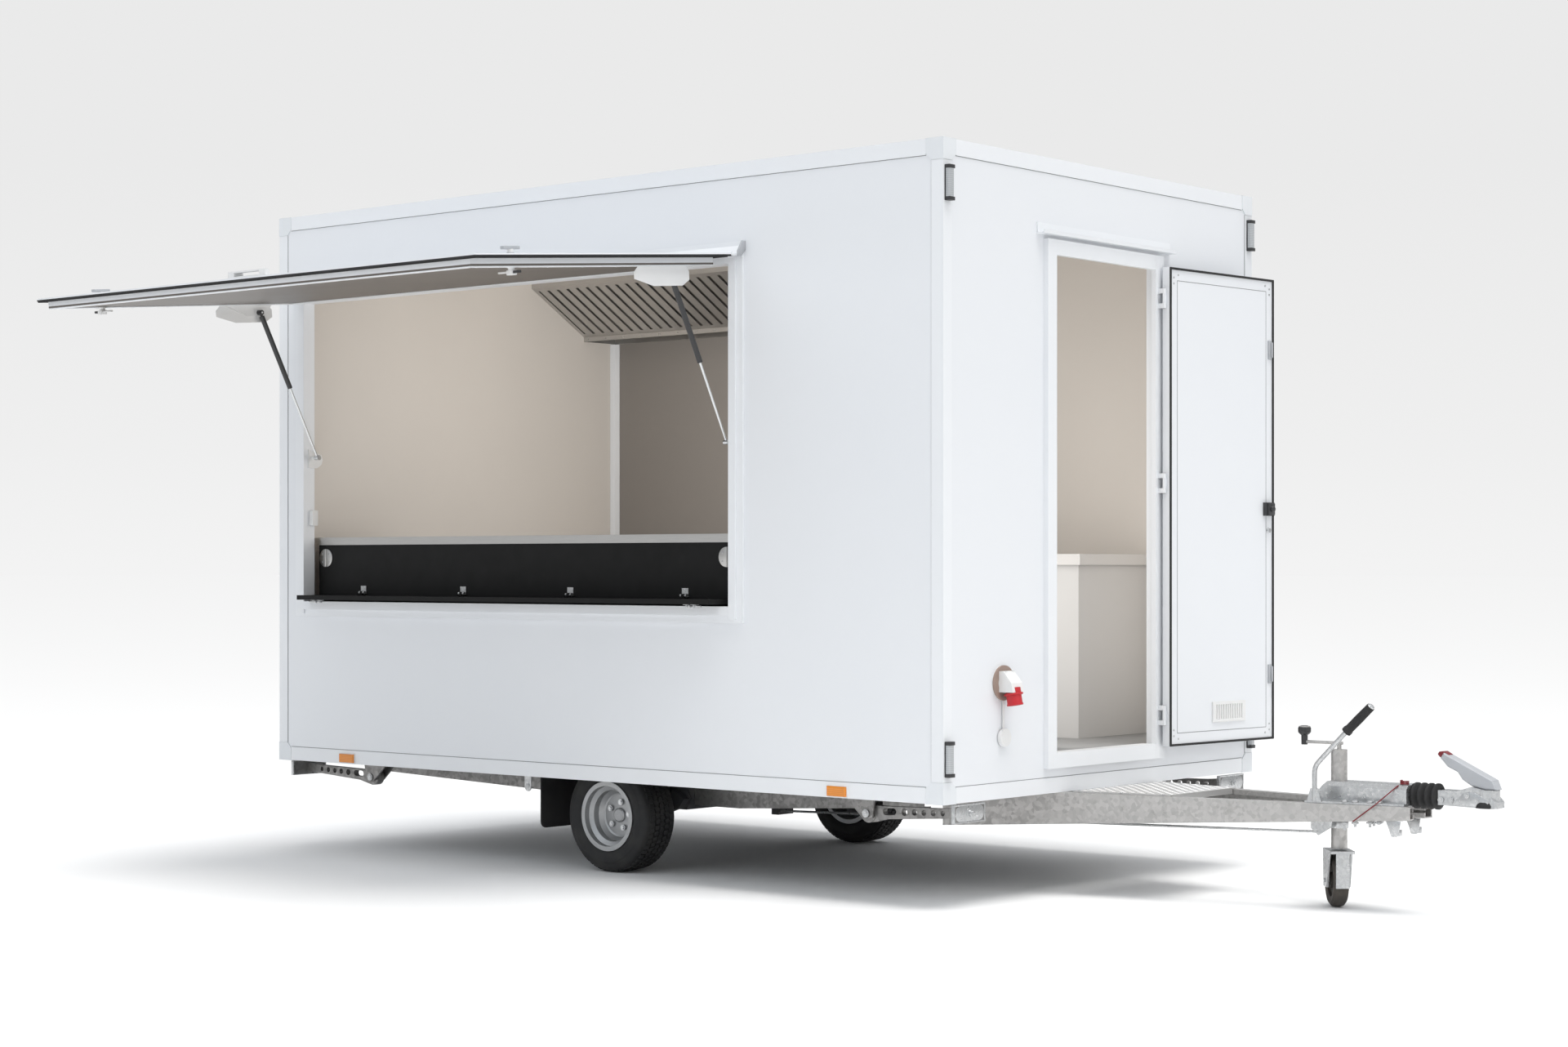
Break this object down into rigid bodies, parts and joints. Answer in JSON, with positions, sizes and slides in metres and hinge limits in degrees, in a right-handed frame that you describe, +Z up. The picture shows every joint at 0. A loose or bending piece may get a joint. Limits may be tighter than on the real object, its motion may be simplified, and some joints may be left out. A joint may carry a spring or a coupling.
{
  "type": "food trailer",
  "caption": "White box food trailer on one axle, with a serving hatch under a lifting flap, a front door, corner steadies, an A-frame drawbar, an overrun coupling and a jockey wheel.",
  "frame": {"origin": "middle of the bounding box, on the ground", "axes": "+X towards the coupling, +Y to the left of the way it is towed, +Z up"},
  "size_m": [5.459, 3.6198, 2.8515],
  "materials": {
    "white_panel": "smooth white laminate",
    "white_profile": "satin white coated aluminium",
    "cap_plastic": "moulded",
    "floor_board": "non-slip grey",
    "stainless": "brushed",
    "black_board": "black laminate",
    "pale_cabinet": "satin laminate",
    "galvanised": "hot-dip galvanised",
    "zinc_plated": "zinc plated",
    "black_rubber": "matt",
    "tyre_rubber": "matt",
    "wheel_silver": "silver paint",
    "axle_steel": "dark",
    "grey_plastic": "moulded",
    "red_plastic": "moulded",
    "clear_lens": "clear lens on a black base",
    "amber_lens": "amber lens",
    "red_lens": "red lens",
    "strut_black": "black enamel",
    "bright_rod": "polished",
    "tread_aluminium": "tread plate",
    "white_plastic": "moulded"
  },
  "bodies": {
    "trailer": {"floor_panel": "floor_board", "wheel_boxes": "axle_steel", "roof_panel": "white_panel", "left_wall": "white_panel", "right_wall": "white_panel", "rear_wall": "white_panel", "front_wall": "white_panel", "corner_posts": "white_profile", "edge_rails": "white_profile", "corner_caps": "cap_plastic", "hatch_frame": "white_profile", "hinge_rail": "white_profile", "strut_studs": "white_plastic", "worktops": "stainless", "cabinets": "pale_cabinet", "counter_front": "black_board", "shelf_hinges": "zinc_plated", "extraction_hood": "stainless", "door_frame": "white_profile", "door_gutter": "white_profile", "power_inlet": "white_plastic", "inlet_socket": "red_plastic", "front_markers": "clear_lens", "side_markers": "amber_lens", "tail_lamps": "red_lens", "axle_beam": "axle_steel", "side_members": "galvanised", "cross_members": "galvanised", "drawbar_beams": "galvanised", "mudflaps": "black_rubber", "step_plate": "tread_aluminium", "overrun_housing": "zinc_plated", "bellows": "black_rubber", "coupling_head": "zinc_plated", "coupling_handle": "grey_plastic", "handbrake_lever": "zinc_plated", "jack_tube": "galvanised", "brake_rod": "zinc_plated", "steady_bases": "galvanised"},
    "wheel_right": {"tyre_right": "tyre_rubber", "rim_right": "wheel_silver"},
    "wheel_left": {"tyre_left": "tyre_rubber", "rim_left": "wheel_silver"},
    "flap": {"flap_panel": "white_panel", "flap_fittings": "white_plastic"},
    "strut_tube_right": {"strut_barrel_right": "strut_black"},
    "strut_tube_left": {"strut_barrel_left": "strut_black"},
    "strut_piston_right": {"strut_rod_right": "bright_rod"},
    "strut_piston_left": {"strut_rod_left": "bright_rod"},
    "shelf": {"serving_shelf": "black_board"},
    "door": {"door_leaf": "white_panel", "door_fittings": "strut_black"},
    "steady_front_right": {"steady_leg_front_right": "galvanised"},
    "steady_front_left": {"steady_leg_front_left": "galvanised"},
    "steady_rear_right": {"steady_leg_rear_right": "galvanised"},
    "steady_rear_left": {"steady_leg_rear_left": "galvanised"},
    "jockey_stem": {"jack_stem": "zinc_plated"},
    "jockey_fork": {"jack_fork": "zinc_plated"},
    "jockey_wheel": {"jack_wheel": "black_rubber"}
  },
  "joints": [
    {"name": "wheel_right_spin", "type": "hinge", "parent": "trailer", "child": "wheel_right", "pos_m": [-0.8345, -0.10661, 0.234], "axis": [0, 1, 0], "continuous": true},
    {"name": "wheel_left_spin", "type": "hinge", "parent": "trailer", "child": "wheel_left", "pos_m": [-0.8345, 1.49839, 0.234], "axis": [0, 1, 0], "continuous": true},
    {"name": "flap_close", "type": "hinge", "parent": "trailer", "child": "flap", "pos_m": [-1.2295, -0.43611, 2.4885], "axis": [1, 0, 0], "range_deg": [0, 85]},
    {"name": "shelf_fold", "type": "hinge", "parent": "trailer", "child": "shelf", "pos_m": [-1.2295, -0.34611, 1.158], "axis": [-1, 0, 0], "range_deg": [0, 90]},
    {"name": "door_close", "type": "hinge", "parent": "trailer", "child": "door", "pos_m": [1.1105, 1.03089, 1.516], "axis": [0, 0, -1], "range_deg": [0, 175.5]},
    {"name": "strut_tilt_right", "type": "hinge", "parent": "flap", "child": "strut_tube_right", "pos_m": [-0.0085, -0.7066, 2.39055], "axis": [-1, 0, 0], "range_deg": [0, 114.81]},
    {"name": "strut_slide_right", "type": "slide", "parent": "strut_tube_right", "child": "strut_piston_right", "axis": [0, -0.4598, 0.888], "range_m": [0, 0.25894]},
    {"name": "strut_tilt_left", "type": "hinge", "parent": "flap", "child": "strut_tube_left", "pos_m": [-2.4505, -0.7066, 2.39055], "axis": [-1, 0, 0], "range_deg": [0, 114.81]},
    {"name": "strut_slide_left", "type": "slide", "parent": "strut_tube_left", "child": "strut_piston_left", "axis": [0, -0.4598, 0.888], "range_m": [0, 0.25894]},
    {"name": "steady_front_right_lower", "type": "hinge", "parent": "trailer", "child": "steady_front_right", "pos_m": [0.6005, -0.23911, 0.334], "axis": [0, 1, 0], "range_deg": [0, 44.5]},
    {"name": "steady_front_left_lower", "type": "hinge", "parent": "trailer", "child": "steady_front_left", "pos_m": [0.6005, 1.63089, 0.334], "axis": [0, 1, 0], "range_deg": [0, 44.5]},
    {"name": "steady_rear_right_lower", "type": "hinge", "parent": "trailer", "child": "steady_rear_right", "pos_m": [-2.2195, -0.23911, 0.334], "axis": [0, -1, 0], "range_deg": [0, 44.5]},
    {"name": "steady_rear_left_lower", "type": "hinge", "parent": "trailer", "child": "steady_rear_left", "pos_m": [-2.2195, 1.63089, 0.334], "axis": [0, -1, 0], "range_deg": [0, 44.5]},
    {"name": "jockey_wind_down", "type": "slide", "parent": "trailer", "child": "jockey_stem", "axis": [0, 0, 1], "range_m": [-0.2, 0]},
    {"name": "jockey_swivel", "type": "hinge", "parent": "jockey_stem", "child": "jockey_fork", "pos_m": [2.0855, 0.69589, 0.215], "axis": [0, 0, 1], "continuous": true},
    {"name": "jockey_roll", "type": "hinge", "parent": "jockey_fork", "child": "jockey_wheel", "pos_m": [2.05658, 0.73036, 0.1], "axis": [-0.766, -0.6428, 0], "continuous": true}
  ],
  "couplings": [
    {"joint": "shelf_fold", "follows": "flap_close", "ratio": 1.0588},
    {"joint": "strut_tilt_right", "follows": "flap_close", "ratio": 1.3506},
    {"joint": "strut_slide_right", "follows": "flap_close", "m_per_rad": 0.17453},
    {"joint": "strut_tilt_left", "follows": "flap_close", "ratio": 1.3506},
    {"joint": "strut_slide_left", "follows": "flap_close", "m_per_rad": 0.17453}
  ]
}
